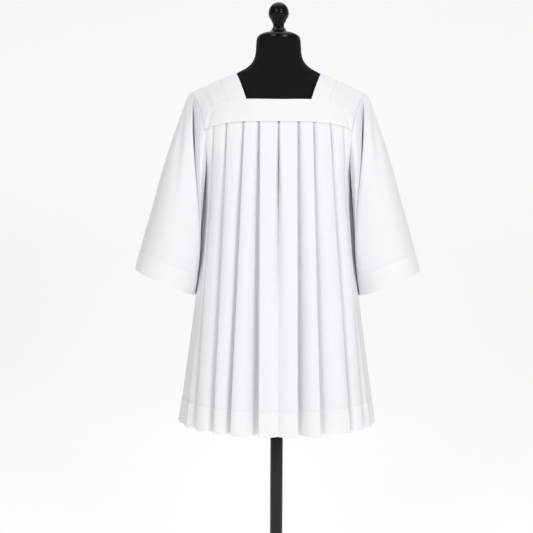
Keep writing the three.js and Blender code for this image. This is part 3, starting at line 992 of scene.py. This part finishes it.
@dataclass
class PleatedPanel(SewnPiece):
    """The pleated back or front, from the yoke to the hem."""

    centre_depth: float = 9.5 * MM
    interval: int = 3
    side_columns: int = 34
    fullness_power: float = 0.48
    stitched_row: int = 72

    # Across one pleat, from its neighbour's folded edge: share of the way to its own edge, offset in
    # millimetres, share of the pleat's depth at the yoke and at the hem, and height in millimetres.
    PROFILE = np.array([
        (0.0, 0.0, 0.0, 0.0, -0.3), (0.0, -0.9, -0.1, -0.1, -0.8), (0.0, -5.0, -0.42, -0.42, -0.8),
        (0.0, -11.0, -0.7, -0.7, -0.7), (0.0, -13.0, -0.84, -0.84, -0.7),
        (0.0, -11.5, -0.96, -0.96, -0.7), (0.0, -4.0, -1.0, -1.0, -0.5),
        (0.03, 0.0, -1.05, -1.15, -0.3), (0.075, 0.0, -0.98, -1.18, 0.0),
        (0.12, 0.0, -0.8, -1.12, 0.0), (0.18, 0.0, -0.5, -0.99, 0.0), (0.26, 0.0, -0.22, -0.75, 0.0),
        (0.36, 0.0, -0.07, -0.47, 0.1), (0.48, 0.0, -0.01, -0.24, 0.2), (0.62, 0.0, 0.0, -0.08, 0.3),
        (0.8, 0.0, 0.0, 0.02, 0.3), (0.94, 0.0, 0.0, 0.02, 0.1), (1.0, -0.8, 0.0, 0.0, 0.0),
    ])

    def half(self, side: Side, pleats: Sequence[Pleat]) -> dict[str, Array]:
        """Columns of half a panel, as arrays, from the middle to the side seam.

        Returns:
            For each column: the x of its fold at the yoke and at the hem, its depth near the yoke and
            lower down, its height, the share of the angle left to the side seam, and where it starts.
        """
        shape = self.shape
        centre = np.linspace(0, 1, 34)[:-1] ** 1.5
        none = np.zeros_like(centre)
        parts = [dict(top=centre * pleats[0].top, hem=centre * pleats[0].hem, high=none, lift=none,
                      rise=0.3 * MM * np.sin(centre * np.pi), turn=none)]
        last = pleats[-1]
        for inner, outer in zip(pleats, (*pleats[1:], last)):
            profile = self.PROFILE[:8] if inner is last else self.PROFILE
            w, offset, high, share, rise = spline(profile, self.interval).T
            parts.append(dict(top=lerp(inner.top, outer.top, w) + offset * MM,
                              hem=lerp(inner.hem, outer.hem, w) + offset * MM,
                              high=inner.depth * high, lift=inner.depth * share, rise=rise * MM,
                              turn=np.zeros_like(w)))
        count = self.side_columns
        band = np.linspace(0, 1, 16)[1:]
        end_angle = shape.ring_angle(side, shape.armhole_band_x, side.yoke_end_z)
        fold_x = lerp(last.top, last.hem, (side.yoke_z - side.yoke_end_z) / (side.yoke_z - shape.hem_z))
        band_turn = band * (1 - end_angle / shape.ring_angle(side, fold_x, side.yoke_end_z))
        g = np.linspace(0, 1, count)[1:]
        angle, z = shape.lower_armhole(side, g)
        fold_x = lerp(last.top, last.hem, (side.yoke_z - z) / (side.yoke_z - shape.hem_z))
        arm_turn = 1 - angle / shape.ring_angle(side, fold_x, z)
        turn = np.concatenate([band_turn, arm_turn])
        narrow = -0.99 * hump(turn, 0.07) - 0.3 * hump(turn - 0.3, 0.06)
        soft = -0.99 * hump(turn, 0.13) - 0.3 * hump(turn - 0.5, 0.15)
        tops = np.concatenate([shape.band_low_z(side, lerp(last.top, shape.armhole_band_x, band)), z])
        parts.append(dict(top=np.full_like(turn, last.top), hem=np.full_like(turn, last.hem),
                          high=last.depth * narrow, lift=last.depth * soft,
                          rise=np.zeros_like(turn), turn=turn))
        columns = {key: np.concatenate([part[key] for part in parts]) for key in parts[0]}
        folds = len(columns["top"]) - len(turn)
        columns["start"] = np.concatenate([
            shape.band_low_z(side, np.abs(columns["top"][:folds])), tops]) - 0.15 * MM
        columns["level"] = np.concatenate([np.ones(folds + len(band) - 1), np.zeros(count)])
        return columns

    def half_points(self, side: Side, pleats: Sequence[Pleat], down: Array, drop: Array) -> Array:
        """Points of half a panel.

        A column's height blends from its top to the top of the hem band, then falls with the band. Its
        place on the ring is where the ring has the fold's x, turned towards the side seam by its share,
        and it stands off the ring by its depth times the fullness, which grows as a power of down.

        Args:
            side: back or front.
            pleats: the pleats of this half.
            down: share of the way to the band, one for each row.
            drop: how far below the band's top each row is.

        Returns:
            Points of shape (rows, columns, 3) on +X.
        """
        shape = self.shape
        c = self.half(side, pleats)
        band_z = shape.hem_z + shape.hem_band
        z = lerp(c["start"][None, :], band_z, down[:, None]) - drop[:, None]
        middle = smooth(1.25 - np.abs(c["hem"]) / shape.hem_half_width) * (1 - c["turn"])
        z = z - shape.hem_dip * middle[None, :] * down[:, None] ** 2
        run = np.clip((side.yoke_z - z) / (side.yoke_z - shape.hem_z), 0, 1)
        x = lerp(c["top"][None, :], c["hem"][None, :], run)
        angle = shape.ring_angle(side, x, z) * (1 - c["turn"][None, :])
        p = shape.ring(side, angle, z)
        early = 0.17 * c["level"][None, :]
        fullness = early + (1 - early) * down[:, None] ** self.fullness_power
        lift = lerp(c["high"][None, :], c["lift"][None, :], smooth(run * 3.2)) * fullness
        lift = lift + c["rise"][None, :]
        reach = lerp(2.0, 16.0, smooth(run * 1.1)) * MM
        trough = lerp(1.0, 2.2, smooth(run * 5)) * lerp(1.0, 0.62, smooth(run * 1.5 - 0.4))
        sharp = lerp(2.4, 1.05, smooth(run * 3.0))
        lift = lift - self.centre_depth * trough * np.exp(-(np.abs(x) / reach) ** sharp)
        waves = np.sin(angle * 23 + z * 9) * np.sin(z * 11 + angle * 5 + side.sign)
        lift = lift + 0.9 * MM * smooth(run * 1.4) * waves
        stitched = 0.5 * MM * smooth(drop[:, None] / (1.5 * MM)) - 0.7 * MM * hump(drop[:, None], 1.2 * MM)
        lift = lift + np.where(down[:, None] >= 1.0, stitched, 0.0)
        p = p + shape.ring_normal(side, p) * lift[..., None]
        p[:, -1, 1] = side.sign * 0.15 * MM
        return p

    def build(self, side: Side) -> tuple[Piece, Surface]:
        """Make the panel, both halves sewn down the middle."""
        body = np.linspace(0, 1, 71) ** 1.15
        drop = np.concatenate([[0.0, 0.8, 1.6, 2.6], np.linspace(5, 58, 14), [59.4, 60.0]]) * MM
        down = np.concatenate([body[:-1], np.ones(len(drop))])
        drop = np.concatenate([np.zeros(len(body) - 1), drop])
        left = mirrored(self.half_points(side, side.left, down, drop))
        right = self.half_points(side, side.right, down, drop)
        points = np.concatenate([left[:, :0:-1], right], axis=1)
        if side.facing is Facing.FRONT:
            points = points[:, ::-1]
        in_band = (drop > 1.2 * MM)[:, None].astype(float)
        surface = Surface(points, np.broadcast_to(in_band, points.shape[:2]))
        thickness = np.where(drop > 1.2 * MM, self.doubled, self.single)
        word = side.facing.name.lower()
        piece = cloth_wall(f"pleated_{word}_cloth", surface, thickness)
        length, area = (0.749, 0.696) if side.facing is Facing.BACK else (0.719, 0.671)
        return self.dress(piece, f"pleated_{word}", (1.121, length), "gathered", area), surface


@dataclass(frozen=True)
class FoldLine:
    """A lengthwise line of the sleeve: shares of the armhole and the cuff, and how far it bows."""

    arm: float
    cuff: float
    inwards: float = 0.0
    outwards: float = 0.0


@dataclass
class Sleeve(SewnPiece):
    """A wide sleeve with a deep fold beside the body."""

    gap: float = 0.6 * MM
    puff: float = 11 * MM
    length: float = 0.44
    stitched_row: int = 71
    interval: int = 5

    LINES = (
        FoldLine(0.015, 0.1, -9, 3), FoldLine(0.03, 0.24, -6, 11), FoldLine(0.045, 0.38, -2, 18),
        FoldLine(0.06, 0.52, 3, 24), FoldLine(0.075, 0.66, 9, 29), FoldLine(0.09, 0.78, 17, 34),
        FoldLine(0.102, 0.85, 22, 33), FoldLine(0.114, 0.872, 19, 18), FoldLine(0.13, 0.885, 13, 0),
        FoldLine(0.15, 0.893, 10, 3), FoldLine(0.18, 0.905, 11, 18), FoldLine(0.23, 0.918, 12, 24),
        FoldLine(0.3, 0.93, 11, 24), FoldLine(0.39, 0.943, 9, 18),
        FoldLine(0.48, 0.955, 6, 9), FoldLine(0.563, 0.9625, 3, 3), FoldLine(0.652, 0.97),
        FoldLine(0.74, 0.9775), FoldLine(0.828, 0.985), FoldLine(0.917, 0.9925),
    )

    def lines(self, side: Side, lines: Sequence[FoldLine], s: Array) -> Array:
        """Points of fold lines at shares of the way down.

        A line blends from the armhole to the cuff; it bows towards the body late, as sin(pi s squared),
        and away from the middle of the arm early, as sin(pi s to the 0.8).

        Returns:
            Points of shape (rows, lines, 3) on +X.
        """
        arm = np.array([line.arm for line in lines])
        cuff = np.array([line.cuff for line in lines])
        inwards = np.array([line.inwards for line in lines]) * MM
        outwards = np.array([line.outwards for line in lines]) * MM
        start = self.shape.armhole(side, arm) + np.array([self.gap, 0, 0])
        end = self.shape.cuff(side, cuff)
        s = s[:, None]
        p = lerp(start[None], end[None], s[..., None])
        late = np.sin(np.pi * s ** 2)
        early = np.sin(np.pi * s ** 0.8)
        head = np.maximum(0.0, np.sin(np.pi * s ** 0.6)) ** 0.7
        p[..., 0] -= inwards * np.where(inwards < 0, head, late)
        p[..., 1] += side.sign * outwards * early
        return p

    def relief(self, p: Array, s: Array) -> Array:
        """Soft troughs that run down from the shoulder, and gentle waves.

        Each trough is a bell curve about a line in x that moves out on the way down.
        """
        x, y, z = p[..., 0], p[..., 1], p[..., 2]
        drop = np.clip((1.39 - z) / 0.34, 0, 1)
        fade = smooth(drop * 6) * (1 - smooth(drop * 1.15 - 0.1))
        line = 0.229 + 0.031 * drop ** 0.6
        depth = -5.0 * MM * hump(x - line, 9.5 * MM) * fade
        second = -2.2 * MM * hump(x - (0.222 + 0.012 * drop), 3.0 * MM) * smooth(drop * 9) \
            * (1 - smooth(drop * 3.2))
        waves = 1.1 * MM * np.sin(x * 70 + z * 8) * np.sin(z * 13 + 1) * smooth(s * 3)
        return (depth + second) * smooth(np.abs(y) / (14 * MM)) + waves

    def build(self, right: bool) -> tuple[Piece, Surface]:
        """Make one sleeve as a closed ring of fold lines, smoothed all round."""
        hem_at = 1 - self.shape.sleeve_hem / (self.shape.shoulder_z - self.shape.cuff_outer_z)
        body = np.linspace(0, 1, 70) ** 1.25 * hem_at
        drop = np.array([0.0, 0.8, 1.6, 2.6, 6, 12, 18, 24, 30, 36, 42, 47]) * MM
        s = np.concatenate([body[:-1], hem_at + drop / self.length])
        s = np.append(s[s < 0.9985], [0.9985, 1.0])
        below = (s - hem_at) * self.length
        back, front = self.shape.back, self.shape.front
        top, under = FoldLine(0, 0, -self.puff / MM, 0), FoldLine(1, 1)
        ring = np.concatenate([
            self.lines(back, (top, *self.LINES, under), s),
            self.lines(front, self.LINES[::-1], s)], axis=1)
        points = np.swapaxes(spline(np.swapaxes(ring, 0, 1), self.interval, closed=True), 0, 1)
        if right:
            points = points[:, ::-1]
        surface = Surface(points, np.zeros((1, 1)), closed=True)
        normals = surface.normals() * (1 if right else -1)
        step = 0.4 * MM * smooth(below / (1.5 * MM)) - 0.6 * MM * hump(below, 1.2 * MM)
        relief = self.relief(points, s[:, None]) + step[:, None]
        relief = relief * smooth(s * 25)[:, None]
        points = points + normals * relief[..., None]
        if not right:
            points = mirrored(points)
        in_band = np.broadcast_to((below > 1.2 * MM)[:, None].astype(float), points.shape[:2])
        surface = Surface(points, in_band, closed=True)
        thickness = np.where(below > 1.2 * MM, self.doubled, self.single)
        word = "right" if right else "left"
        piece = cloth_wall(f"sleeve_{word}_cloth", surface, thickness)
        return self.dress(piece, f"sleeve_{word}", (0.687, 0.508), "hung", 0.227), surface


@dataclass
class Stitching:
    """Runs of small straight stitches laid on the cloth."""

    finish: Material
    pitch: float = 4.2 * MM
    length: float = 3.0 * MM
    width: float = 0.45 * MM

    def build(self, name: str, surfaces: Sequence[tuple[Surface, int]]) -> Piece:
        """Lay one joined mesh of stitches along rows of surfaces.

        A stitch is a ball of 6 by 4 faces, stretched along the row and pressed to the cloth; its middle
        is at even distances along the row.

        Args:
            name: the piece's name.
            surfaces: pairs of a surface and the row to follow.

        Returns:
            The piece.
        """
        ring = np.arange(6) / 6 * 2 * np.pi
        tilt = np.linspace(-np.pi / 2, np.pi / 2, 5)
        ball = np.stack([np.broadcast_to(np.sin(tilt)[:, None] * self.length / 2, (5, 6)),
                         np.cos(tilt)[:, None] * np.cos(ring) * self.width / 2,
                         np.cos(tilt)[:, None] * np.sin(ring) * self.width / 2], axis=-1)
        ball[0, :, 1:] = ball[-1, :, 1:] = 0
        shell = np.concatenate([ball[1:-1].reshape(-1, 3), ball[0, :1], ball[-1, :1]])
        j, i = np.meshgrid(np.arange(2), np.arange(6), indexing="ij")
        k = (i + 1) % 6
        sides = np.stack([j * 6 + i, j * 6 + k, (j + 1) * 6 + k, (j + 1) * 6 + i], -1).reshape(-1, 4)
        n, m = np.arange(6), (np.arange(6) + 1) % 6
        triangles = np.concatenate([sides[:, [0, 2, 1]], sides[:, [0, 3, 2]],
                                    np.stack([np.full(6, 18), n, m], 1),
                                    np.stack([np.full(6, 19), 12 + m, 12 + n], 1)])
        points = []
        for surface, row in surfaces:
            line, normal = surface.points[row], surface.normals()[row]
            if surface.closed:
                line, normal = (np.concatenate([a, a[:1]]) for a in (line, normal))
            walk = np.append(0, np.linalg.norm(np.diff(line, axis=0), axis=1).cumsum())
            at = np.arange(self.pitch, walk[-1] - self.pitch, self.pitch)
            sample = [np.stack([np.interp(at + d, walk, a[:, c]) for c in range(3)], 1)
                      for a, d in ((line, -0.6 * MM), (line, 0.6 * MM), (line, 0.0), (normal, 0.0))]
            along = sample[1] - sample[0]
            along /= np.linalg.norm(along, axis=1, keepdims=True)
            up = sample[3] / np.linalg.norm(sample[3], axis=1, keepdims=True)
            axes = np.stack([along, np.cross(up, along), up], axis=1)
            points.append(np.einsum("vk,nkc->nvc", shell, axes) + sample[2][:, None])
        points = np.concatenate(points)
        faces = (triangles[None] + (np.arange(len(points)) * len(shell))[:, None, None]).reshape(-1, 3)
        return settle(make_object(name, points.reshape(-1, 3), faces), self.finish)


# the dress form
@dataclass
class DressForm:
    """The limbless form, its neck cap and finial, and its stand."""

    cover: Material
    lacquer: Material
    enamel: Material
    power: float = 2.2
    segments: int = 144

    # Height, half width and half depth of the torso's sections, in millimetres.
    SECTIONS = np.array([
        (790, 138, 92), (794, 150, 101), (804, 157, 106), (880, 166, 112), (960, 158, 106),
        (1060, 135, 92), (1150, 150, 100), (1240, 163, 108), (1300, 174, 106), (1340, 184, 101),
        (1370, 189, 94), (1392, 190, 80), (1407, 181, 70), (1418, 157, 65), (1431, 126, 60),
        (1440, 112, 57), (1446.6, 106, 55), (1450, 102.5, 54), (1456, 91, 53.4), (1463, 79.5, 52.8),
        (1471, 70.2, 52), (1480, 63.6, 51.2), (1490, 59.4, 50.4), (1500, 57.4, 49.9),
        (1515, 56.3, 49.4), (1531.2, 55.2, 49),
    ], dtype=float)

    def torso(self) -> Piece:
        """Loft superellipses through smoothed sections, closed at both ends.

        A ring's reach at an angle is ((|cos| / width)^power + (|sin| / depth)^power)^(-1 / power).

        Returns:
            The piece.
        """
        sections = spline(self.SECTIONS, 8) * MM
        angle = np.arange(self.segments) / self.segments * 2 * np.pi
        c, s = np.cos(angle), np.sin(angle)
        reach = (np.abs(c) / sections[:, 1:2]) ** self.power + (np.abs(s) / sections[:, 2:]) ** self.power
        reach = reach ** (-1 / self.power)
        z = np.broadcast_to(sections[:, :1], reach.shape)
        rings = np.stack([reach * c, reach * s, z], axis=-1)[::-1]
        caps = [rings[:1] * np.array([k, k, 1.0]) for k in (0.0, 0.5, 0.97)]
        feet = [rings[-1:] * np.array([k, k, 1.0]) for k in (0.97, 0.5, 0.0)]
        piece = lofted("form_torso_cover", np.concatenate([*caps, rings, *feet]))
        return settle(piece, self.cover, "form_torso")

    def neck_cap(self) -> Piece:
        """Turn the shallow domed cap, a little oval like the neck."""
        low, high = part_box("neck_cap")
        r, bottom, top, oval = high[0], low[2], high[2], high[1] / high[0]
        rim = np.array([[r - 0.7 * MM, bottom], [r - 0.2 * MM, bottom + 0.2 * MM],
                        [r, bottom + 0.7 * MM]])
        dome = spline(np.array([[55, 16], [54.6, 14.4], [53.4, 12.6], [51.2, 10.2], [47.9, 7.8],
                                [43, 5.3], [36, 3.0], [25.5, 0.8], [18, 0.0]]) * MM, 5)
        dome[:, 1] = top - dome[:, 1]
        profile = np.concatenate([[[0, bottom]], rim, dome, [[0, top]]])
        piece = turned("neck_cap_turned", profile, 128, oval)
        return settle(piece, self.lacquer, "neck_cap")

    def finial(self) -> Piece:
        """Turn the knob: a flared foot, a waist with two beads, and a pear-shaped ball."""
        low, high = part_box("finial")
        foot, top, radius = low[2], high[2], high[0]
        middle = top - radius
        stem = spline(np.array([[22.4, 0.0], [21.8, 1.2], [20.2, 3.4], [18.3, 6.0], [16.6, 8.4],
                                [15.2, 10.6], [13.9, 12.2], [14.5, 13.6], [13.7, 15.2],
                                [14.7, 17.2], [13.9, 18.6], [14.8, 20.2], [15.8, 22.4],
                                [18.0, 26.2]]), 5) * MM
        stem[:, 1] += foot
        t = np.linspace(-0.72, np.pi / 2, 60)
        ball = np.stack([radius * np.cos(t), middle + radius * np.sin(t)], axis=1)
        ball[:, 0] *= 1 - 0.03 * hump(t - 0.05, 0.035) - 0.012 * smooth((t - 0.05) * 12) * smooth(1.4 - t)
        ball[-1] = (0, top)
        profile = np.concatenate([[[0, foot]], stem, ball])
        return settle(turned("finial_turned", profile), self.lacquer, "finial")

    def stand(self) -> None:
        """Turn the pole and the round base."""
        low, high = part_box("pole")
        r, end = high[0], 0.8 * MM
        profile = np.array([[0, low[2]], [r - end, low[2]], [r, low[2] + end], [r, high[2] - end],
                            [r - end, high[2]], [0, high[2]]])
        settle(turned("pole_turned", profile, 64), self.enamel, "pole")
        low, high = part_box("base")
        r, hub = high[0], high[2]
        rim = np.array([[r - 2 * MM, 0], [r - 0.6 * MM, 0.6 * MM], [r, 2 * MM], [r, 8 * MM],
                        [r - 0.8 * MM, 10.4 * MM], [r - 3 * MM, 12 * MM]])
        top = spline(np.array([[r - 3 * MM, 12 * MM], [120 * MM, 16 * MM], [62 * MM, 18.6 * MM],
                               [42 * MM, 21.5 * MM], [32.5 * MM, 27 * MM], [29 * MM, 34 * MM],
                               [28 * MM, hub - 2 * MM]]), 8)[1:]
        profile = np.concatenate([[[0, 0], [r * 0.5, 0]], rim, top,
                                  [[27.4 * MM, hub - 0.6 * MM], [26 * MM, hub], [0, hub]]])
        settle(turned("base_turned", profile, 128), self.enamel, "base")

    def build(self) -> None:
        """Make the whole form."""
        self.torso()
        self.neck_cap()
        self.finial()
        self.stand()


# studio
@dataclass
class Studio:
    """The pale floor, the soft lights and the camera."""

    distance: float = 2.3
    eye: float = 1.0648
    aside: float = -0.0281
    tilt: float = 0.0431
    roll: float = -0.0044
    lens: float = 61.46
    sensor: float = 36.0

    def camera(self) -> None:
        """Place the camera behind the garment, a little above its middle."""
        data = bpy.data.cameras.new("camera")
        data.lens = self.lens
        data.sensor_width = self.sensor
        holder = bpy.data.objects.new("camera", data)
        holder.location = (self.aside, -self.distance, self.eye)
        holder.rotation_euler = (math.pi / 2 - self.tilt, self.roll, 0)
        bpy.context.collection.objects.link(holder)
        bpy.context.scene.camera = holder

    def floor(self) -> None:
        """Sweep one pale sheet across the floor and up behind."""
        depth, height, bend = 4.2, 6.0, 1.6
        turn = np.linspace(0, np.pi / 2, 24)
        path = np.concatenate([[[-6.0, 0.0]], np.stack(
            [depth - bend + bend * np.sin(turn), bend - bend * np.cos(turn)], 1), [[depth, height]]])
        wide = np.array([-9.0, 9.0])
        points = np.stack([np.broadcast_to(wide, (len(path), 2)),
                           np.broadcast_to(path[:, :1], (len(path), 2)),
                           np.broadcast_to(path[:, 1:], (len(path), 2))], axis=-1)
        faces, _ = quads(len(path), 2, False)
        sheet = make_object("backdrop", points.reshape(-1, 3), faces[:, ::-1])
        sheet.data.materials.append(BackdropFinish().make("backdrop_paper"))

    def light(self, name: str, place: tuple[float, float, float], aim: tuple[float, float, float],
              size: Pair, power: float) -> None:
        """Hang one soft rectangular light that faces a point."""
        data = bpy.data.lights.new(name, "AREA")
        data.shape = "RECTANGLE"
        data.size, data.size_y = size
        data.energy = power
        holder = bpy.data.objects.new(name, data)
        holder.location = place
        way = np.array(aim) - np.array(place)
        yaw = math.atan2(-way[0], way[1])
        pitch = math.acos(-way[2] / np.linalg.norm(way))
        holder.rotation_euler = (pitch, 0, yaw)
        bpy.context.collection.objects.link(holder)

    def build(self) -> None:
        """Set up the studio."""
        self.camera()
        self.floor()
        aim = (0.0, 0.0, 1.0)
        self.light("key", (-1.6, -3.6, 2.6), aim, (1.4, 1.6), 45.0)
        self.light("fill", (1.9, -3.4, 2.0), aim, (1.4, 1.6), 59.0)
        self.light("top", (0.0, 0.3, 3.4), aim, (2.2, 2.2), 24.0)
        self.light("behind", (0.0, 3.2, 2.6), aim, (2.4, 1.6), 14.0)
        world = bpy.data.worlds.new("studio")
        world.use_nodes = True
        sky = world.node_tree.nodes["Background"]
        sky.inputs["Color"].default_value = (0.97, 0.975, 1.0, 1.0)
        sky.inputs["Strength"].default_value = 0.3
        bpy.context.scene.world = world
        bpy.context.scene.view_settings.view_transform = "Standard"


def main() -> None:
    """Build the studio, the form and the garment."""
    logging.basicConfig(level=logging.INFO, format="%(name)s %(message)s")
    Studio().build()
    DressForm(CoverFinish().make("form_jersey"), GlossFinish().make("black_lacquer"),
              GlossFinish(colour=(0.011, 0.011, 0.012, 1.0), smooth=0.32, worn=0.45,
                          coat=0.2).make("black_enamel")).build()
    shape = Shape()
    cloth = ClothFinish().make("white_cloth")
    for side in (shape.back, shape.front):
        YokeBand(shape, cloth).build(side)
    gap = 0.03 * MM
    neck = (shape.neck_x, shape.back.neck_half)
    for right in (False, True):
        ShoulderPiece(shape, cloth, columns=34).build(
            "neck_strip", right, neck, (shape.strip_top_x - gap, shape.strip_low_x - gap), True,
            (0.071, 0.31), 0.0126)
        ShoulderPiece(shape, cloth).build(
            "shoulder_panel", right, (shape.strip_top_x + gap, shape.strip_low_x + gap),
            (shape.shoulder_x, shape.armhole_seam_x), False, (0.112, 0.267), 0.0177)
    rows = []
    panel, sleeve = PleatedPanel(shape, cloth), Sleeve(shape, cloth)
    for side in (shape.back, shape.front):
        rows.append((panel.build(side)[1], panel.stitched_row))
    for right in (False, True):
        rows.append((sleeve.build(right)[1], sleeve.stitched_row))
    Stitching(ThreadFinish().make("white_thread")).build("hem_stitches", rows)


if __name__ == "__main__":
    main()
